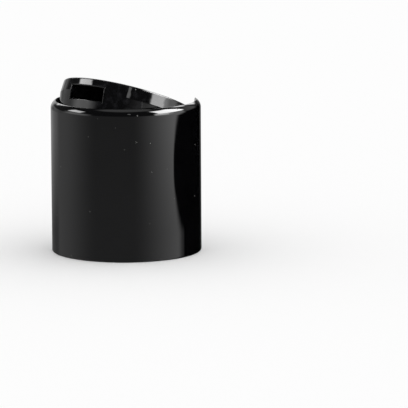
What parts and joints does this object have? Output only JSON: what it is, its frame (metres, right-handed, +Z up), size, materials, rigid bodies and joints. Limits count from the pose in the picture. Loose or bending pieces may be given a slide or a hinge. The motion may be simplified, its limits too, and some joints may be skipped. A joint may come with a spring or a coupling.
{
  "type": "disc top cap",
  "caption": "Disc top dispensing cap: smooth round skirt with a threaded bore, and a rocking disc whose front spout rises from a well when its rear is pressed.",
  "frame": {"origin": "middle of the foot of the skirt, on the plane that it stands on", "axes": "+Z up along the skirt, -Y towards the spout, X along the disc's rocking axis"},
  "size_m": [0.0274, 0.0274, 0.0329],
  "materials": {
    "shell": "moulded, polished black",
    "disc": "moulded black, satin top face"
  },
  "bodies": {
    "cap": {"shell": "shell"},
    "rocker": {"disc": "disc"}
  },
  "joints": [
    {"name": "disc_tilt", "type": "hinge", "parent": "cap", "child": "rocker", "pos_m": [0, 0.0008, 0.02558], "axis": [1, 0, 0], "range_deg": [0, 22.5]}
  ]
}
